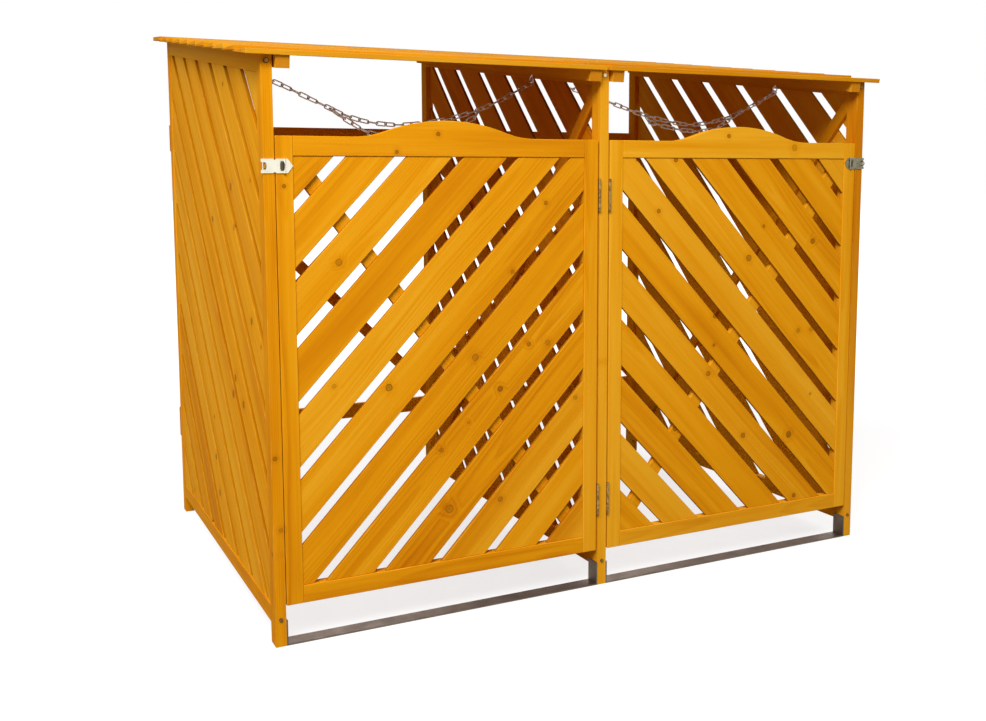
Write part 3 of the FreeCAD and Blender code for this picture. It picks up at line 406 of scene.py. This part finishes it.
def metal(name, finish, metallic=1.0, blotch_scale=45.0, blotch_mix=0.5, patch=None):
    """Plated or bare steel: uneven tone, fine scratches and a little dirt. finish is a colour, a worn
    colour and a roughness, and patch is an oval painted in another colour: painted shade or a painted
    highlight."""
    colour, worn_colour, roughness = finish
    t = Tree(name)
    spot = t.nodes.new("ShaderNodeTexCoord").outputs["Object"]
    blotches = t.noise(spot, blotch_scale, 4.0, 0.6)
    fine = t.noise(spot, SCRATCH_SCALE, 2.0, 0.5)
    worn = t.math("MULTIPLY", t.range(blotches, 0.36, 0.66), blotch_mix)
    tint = t.mix(worn, linear(colour), linear(worn_colour))
    dirt = t.math("MULTIPLY", t.range(fine, 0.35, 0.75), DIRT_SHARE)
    tint = t.mix(dirt, tint, linear(tuple(DIRT_DARKNESS * value for value in colour)))
    # The patch paints shade or a highlight onto the metal
    if patch:
        middle, reach_x, reach_z, share, other = patch
        offset = t.vector_math("SUBTRACT", spot, middle).outputs[0]
        scaled = t.vector_math("MULTIPLY", offset, (1 / reach_x, 0.0, 1 / reach_z)).outputs[0]
        oval = t.vector_math("LENGTH", scaled).outputs["Value"]
        ragged = t.math("SUBTRACT", t.noise(spot, 420.0, 2.0), 0.5)
        edge = t.math("MULTIPLY_ADD", ragged, 0.5, oval)
        tint = t.mix(t.math("MULTIPLY", t.range(edge, 0.80, 1.10, 1.0, 0.0), share), tint, linear(other))
    t.links.new(tint, t.shader.inputs["Base Color"])
    rough = t.math("ADD", roughness, t.math("MULTIPLY", t.math("SUBTRACT", blotches, 0.5), 0.30))
    rough = t.math("ADD", rough, t.math("MULTIPLY", t.math("SUBTRACT", fine, 0.5), 0.16))
    t.links.new(rough, t.shader.inputs["Roughness"])
    t.shader.inputs["Metallic"].default_value = metallic
    t.links.new(t.bump(fine, SCRATCH_RELIEF), t.shader.inputs["Normal"])
    return t.material


# Boards: each CAD wood node is shown by a copy with eased edges and its own grain

def islands(bm):
    """The separate solids of a mesh, as lists of faces."""
    seen = set()
    found = []
    for start in bm.faces:
        if start in seen:
            continue
        seen.add(start)
        group = [start]
        for face in group:
            for edge in face.edges:
                for other in edge.link_faces:
                    if other not in seen:
                        seen.add(other)
                        group.append(other)
        found.append(group)
    return found


def lowest_corner(faces):
    """The first corner of a solid by x, then y, then z, rounded, to put solids in a fixed order."""
    corner = min(tuple(vert.co) for face in faces for vert in face.verts)
    return tuple(round(value, 4) for value in corner)


def main_directions(edges):
    """The direction that the board's long edges run in, its width's and its thickness's."""
    kinds = []
    for edge in edges:
        step = edge.verts[1].co - edge.verts[0].co
        length = step.length
        if length < 1e-6:
            continue
        step.normalize()
        for kind in kinds:
            if abs(kind[0].dot(step)) > SAME_DIRECTION:
                kind[1] += length ** 3
                break
        else:
            kinds.append([step, length ** 3])
    kinds.sort(key=lambda kind: -kind[1])
    along = kinds[0][0].copy()
    if max(along, key=abs) < 0:
        along.negate()
    best, across = 0.0, None
    for edge in edges:
        step = edge.verts[1].co - edge.verts[0].co
        step = step - along * step.dot(along)
        if step.length > best:
            best, across = step.length, step.normalized()
    return along, across, along.cross(across)


def board_copy(node, material, body, swell=0.0):
    """A copy of a CAD wood node that carries each board's own coordinates, with eased edges.
    swell is how far each board has swollen on each side of its width; its ends then reach further into
    what holds them."""
    source = frame["nodes"][node]
    bm = bmesh.new()
    bm.from_mesh(source.data)
    bmesh.ops.remove_doubles(bm, verts=bm.verts, dist=MERGE_DISTANCE)
    bmesh.ops.dissolve_limit(bm, angle_limit=math.radians(FLAT_ANGLE), verts=bm.verts, edges=bm.edges)
    bm.faces.ensure_lookup_table()
    place_layer = bm.verts.layers.float_vector.new("board_place")
    edge_layer = bm.verts.layers.float_vector.new("board_sides")
    half_layer = bm.verts.layers.float_vector.new("board_half")
    tone_layer = bm.verts.layers.float.new("board_tone")
    end_layer = bm.faces.layers.float.new("board_end")
    flank_layer = bm.faces.layers.float.new("board_flank")
    has_flanks = node.endswith("slats")
    for number, faces in enumerate(sorted(islands(bm), key=lowest_corner)):
        chance = random.Random(node + "_" + str(number))
        verts = {vert for face in faces for vert in face.verts}
        # In the mesh's own order, because the first of several equal edges says which way the width points
        edges = list(dict.fromkeys(edge for face in faces for edge in face.edges))
        directions = main_directions(edges)
        along, across, deep = directions
        spans = []
        for direction in directions:
            values = [vert.co.dot(direction) for vert in verts]
            spans.append((min(values), max(values)))
        middles = [(low + high) / 2 for low, high in spans]
        halves = [(high - low) / 2 for low, high in spans]
        pith_across = chance.uniform(-0.8, 0.8) * halves[1]
        pith_deep = chance.choice((-1, 1)) * chance.uniform(*PITH_DEPTH)
        shift = chance.uniform(0, 40)
        tone = chance.random()
        for vert in verts:
            where = [vert.co.dot(direction) - middle for direction, middle in zip(directions, middles)]
            if swell:
                vert.co += (
                    across * math.copysign(swell, where[1])
                    + along * math.copysign(END_SWELL * swell, where[0])
                )
            vert[place_layer] = Vector((where[0] + shift, where[1] - pith_across, where[2] - pith_deep))
            vert[edge_layer] = Vector(where)
            vert[half_layer] = Vector(halves)
            vert[tone_layer] = tone
        for face in faces:
            face[end_layer] = 1.0 if abs(face.normal.dot(along)) > 0.6 else 0.0
            face[flank_layer] = 1.0 if has_flanks and abs(face.normal.dot(across)) > 0.8 else 0.0
    mesh = bpy.data.meshes.new(node + "_boards")
    bm.to_mesh(mesh)
    bm.free()
    mesh.materials.clear()
    mesh.materials.append(material)
    piece = bpy.data.objects.new(node + "_boards", mesh)
    bpy.context.scene.collection.objects.link(piece)
    ease = piece.modifiers.new("eased_edges", "BEVEL")
    ease.width = EDGE_ROUND
    ease.segments = EDGE_SEGMENTS
    ease.limit_method = "ANGLE"
    ease.angle_limit = math.radians(EDGE_ANGLE)
    ease.harden_normals = True
    ease.use_clamp_overlap = True
    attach(piece, body)
    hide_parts(node)
    return piece


# Materials

# Inner parts get painted shade: a deeper, redder stain standing in for the shade inside the store
wood_shaded_inside = stained_wood("inside_timber_painted_shade", deeper=0.02, inside=0.40)
by_slot = {
    "frame_wood": stained_wood("frame_timber", FRAME_KNOTS_AND_SCREW_SHADE),
    "roof_wood": stained_wood("roof_timber", deeper=-0.04, ends_share=0.15, sheen_and_weathering=0.80),
    "slat_wood": stained_wood("slat_timber"),
    "zinc_plate": metal("hasp_zinc", ZINC, blotch_mix=0.4),
    "hinge_steel": metal("hinge_plating", HINGE_PLATING, blotch_scale=150.0, blotch_mix=0.9),
    "strap_steel": metal("strap_galvanised", STRAP_GALVANISED, blotch_scale=16.0, blotch_mix=0.7),
    "screw_steel": metal("screw_zinc", SCREW_ZINC, blotch_scale=220.0, blotch_mix=0.8),
    "chain_steel": metal("chain_zinc", CHAIN_ZINC, metallic=0.9, blotch_scale=120.0),
}
by_node = {
    "left_door_slats": stained_wood("left_door_timber", LEFT_DOOR_KNOTS),
    "right_door_slats": stained_wood("right_door_timber", RIGHT_DOOR_KNOTS),
    "left_panel_slats": stained_wood("left_panel_timber", LEFT_PANEL_KNOTS, deeper=0.02),
    # The right front post is stained deeper as painted shade, for the light falling off towards the right
    "right_front_post": stained_wood("right_post_timber_painted_shade", deeper=0.26),
    "divider_slats": wood_shaded_inside,
    "divider_brace": wood_shaded_inside,
    "divider_top_rail": wood_shaded_inside,
    "divider_bottom_rail": wood_shaded_inside,
    "left_rear_braces": wood_shaded_inside,
    "right_rear_braces": wood_shaded_inside,
    # Right hasp: the same zinc, with a painted darker reflection
    "right_hasp_strap": metal("hasp_zinc_painted_shade", ZINC_SHADED, blotch_scale=140.0, blotch_mix=0.7),
    "right_hasp_plate": metal(
        "right_hasp_plate_zinc", ZINC_SHADED, blotch_scale=140.0, blotch_mix=0.7, patch=RIGHT_WINDOW_SHADE
    ),
    "left_hasp_plate": metal("left_hasp_plate_zinc", ZINC, blotch_mix=0.4, patch=LEFT_WINDOW_SHADE),
    "hasp_staples": metal("staple_steel", STAPLE_STEEL, blotch_scale=200.0, blotch_mix=0.6),
    "frame_screws": metal(
        "screw_dark", SCREW_DARK, blotch_scale=220.0, blotch_mix=0.8, patch=CENTRE_SCREW_HIGHLIGHT
    ),
}

body_of = {}
for body, members in frame["record"]["behaviour"]["bodies"].items():
    for member in members:
        body_of[member] = body

for node, cad in sorted(frame["nodes"].items()):
    slot = cad.data.materials[0].name.split(".")[0]
    material = by_node.get(node, by_slot[slot])
    if slot in ("frame_wood", "slat_wood", "roof_wood"):
        swell = LEFT_PANEL_SWELL if node == "left_panel_slats" else 0.0
        piece = board_copy(node, material, body_of[node], swell)
    else:
        for holder in cad.material_slots:
            holder.link = "OBJECT"
            holder.material = material


# Floor, light and camera

def floor_material():
    """A pale floor that shows white, with the object's shadow on it; all white further away."""
    t = Tree("floor_white")
    path = t.nodes.new("ShaderNodeLightPath")
    mirrored = t.math("MAXIMUM", path.outputs["Is Glossy Ray"], path.outputs["Is Transmission Ray"])
    seen = t.math("MAXIMUM", path.outputs["Is Camera Ray"], mirrored)
    spot = t.nodes.new("ShaderNodeTexCoord").outputs["Object"]
    away = t.vector_math("LENGTH", spot).outputs["Value"]
    glow = t.range(away, *FLOOR_FADE, FLOOR_GLOW, 1.0)
    t.shader.inputs["Roughness"].default_value = 1.0
    t.shader.inputs["Specular IOR Level"].default_value = 0.0
    t.shader.inputs["Base Color"].default_value = (FLOOR_WHITE, FLOOR_WHITE, FLOOR_WHITE, 1)
    t.shader.inputs["Emission Color"].default_value = (1, 1, 1, 1)
    t.links.new(t.math("MULTIPLY", seen, glow), t.shader.inputs["Emission Strength"])
    return t.material


floor_mesh = bpy.data.meshes.new("floor")
floor_corners = [
    (x * FLOOR_REACH, y * FLOOR_REACH, -FLOOR_DROP) for x, y in ((-1, -1), (1, -1), (1, 1), (-1, 1))
]
floor_mesh.from_pydata(floor_corners, [], [(0, 1, 2, 3)])
floor = bpy.data.objects.new("floor", floor_mesh)
bpy.context.scene.collection.objects.link(floor)
floor_mesh.materials.append(floor_material())

# The world is white where it is seen or mirrored, and lights the rest at a lower level
world = bpy.data.worlds.new("studio")
bpy.context.scene.world = world
world.use_nodes = True
nodes, links = world.node_tree.nodes, world.node_tree.links
nodes.clear()
out = nodes.new("ShaderNodeOutputWorld")
back = nodes.new("ShaderNodeBackground")
back.inputs["Color"].default_value = (1, 1, 1, 1)
path = nodes.new("ShaderNodeLightPath")
mirrored = nodes.new("ShaderNodeMath")
mirrored.operation = "MAXIMUM"
seen = nodes.new("ShaderNodeMath")
seen.operation = "MAXIMUM"
level = nodes.new("ShaderNodeMapRange")
level.inputs["To Min"].default_value = WORLD_LIGHT
level.inputs["To Max"].default_value = 1.0
links.new(path.outputs["Is Glossy Ray"], mirrored.inputs[0])
links.new(path.outputs["Is Transmission Ray"], mirrored.inputs[1])
links.new(mirrored.outputs[0], seen.inputs[0])
links.new(path.outputs["Is Camera Ray"], seen.inputs[1])
links.new(seen.outputs[0], level.inputs["Value"])
links.new(level.outputs["Result"], back.inputs["Strength"])
links.new(back.outputs[0], out.inputs["Surface"])


def add_lamp(name, light, direction):
    """Puts a lamp into the scene whose light travels in the given direction."""
    lamp = bpy.data.objects.new(name, light)
    lamp.rotation_mode = "QUATERNION"
    lamp.rotation_quaternion = direction.to_track_quat("-Z", "Y")
    bpy.context.scene.collection.objects.link(lamp)
    return lamp


def sun(name, towards, strength, angle):
    """A soft distant lamp."""
    light = bpy.data.lights.new(name, "SUN")
    light.energy = strength
    light.angle = math.radians(angle)
    add_lamp(name, light, Vector(towards))


def soft_box(name, place, aim, width, height, power):
    """A large soft lamp that faces a point."""
    light = bpy.data.lights.new(name, "AREA")
    light.shape = "RECTANGLE"
    light.size = width
    light.size_y = height
    light.energy = power
    add_lamp(name, light, Vector(aim) - Vector(place)).location = place


soft_box("key", place=(-2.3, -3.1, 4.0), aim=(-0.1, -0.2, 0.6), width=2.4, height=2.0, power=235)
sun("front", towards=(0.20, 1.0, -1.15), strength=0.40, angle=40)
sun("side", towards=(1.0, 0.30, -0.80), strength=0.72, angle=45)
sun("rear", towards=(-0.75, -1.0, -0.80), strength=2.0, angle=50)

yaw, pitch, roll = (math.radians(angle) for angle in (CAMERA_YAW, CAMERA_PITCH, CAMERA_ROLL))
forward = Vector((math.sin(yaw) * math.cos(pitch), math.cos(yaw) * math.cos(pitch), math.sin(pitch)))
level_right = Vector((math.cos(yaw), -math.sin(yaw), 0.0))
level_up = level_right.cross(forward)
right = math.cos(roll) * level_right + math.sin(roll) * level_up
up = -math.sin(roll) * level_right + math.cos(roll) * level_up
camera_data = bpy.data.cameras.new("camera")
camera = bpy.data.objects.new("camera", camera_data)
bpy.context.scene.collection.objects.link(camera)
camera.matrix_world = Matrix((
    (right.x, up.x, -forward.x, CAMERA_PLACE[0]),
    (right.y, up.y, -forward.y, CAMERA_PLACE[1]),
    (right.z, up.z, -forward.z, CAMERA_PLACE[2]),
    (0, 0, 0, 1),
))
camera_data.sensor_fit = "HORIZONTAL"
camera_data.sensor_width = SENSOR_WIDTH
camera_data.lens = FOCAL_PIXELS / PHOTO_WIDTH * SENSOR_WIDTH
camera_data.shift_x = (PHOTO_WIDTH / 2 - AXIS_PIXEL[0]) / PHOTO_WIDTH
camera_data.shift_y = (AXIS_PIXEL[1] - PHOTO_HEIGHT / 2) / PHOTO_WIDTH
camera_data.clip_start = 0.05
camera_data.clip_end = 200.0
bpy.context.scene.camera = camera
bpy.context.scene.view_settings.view_transform = "Standard"
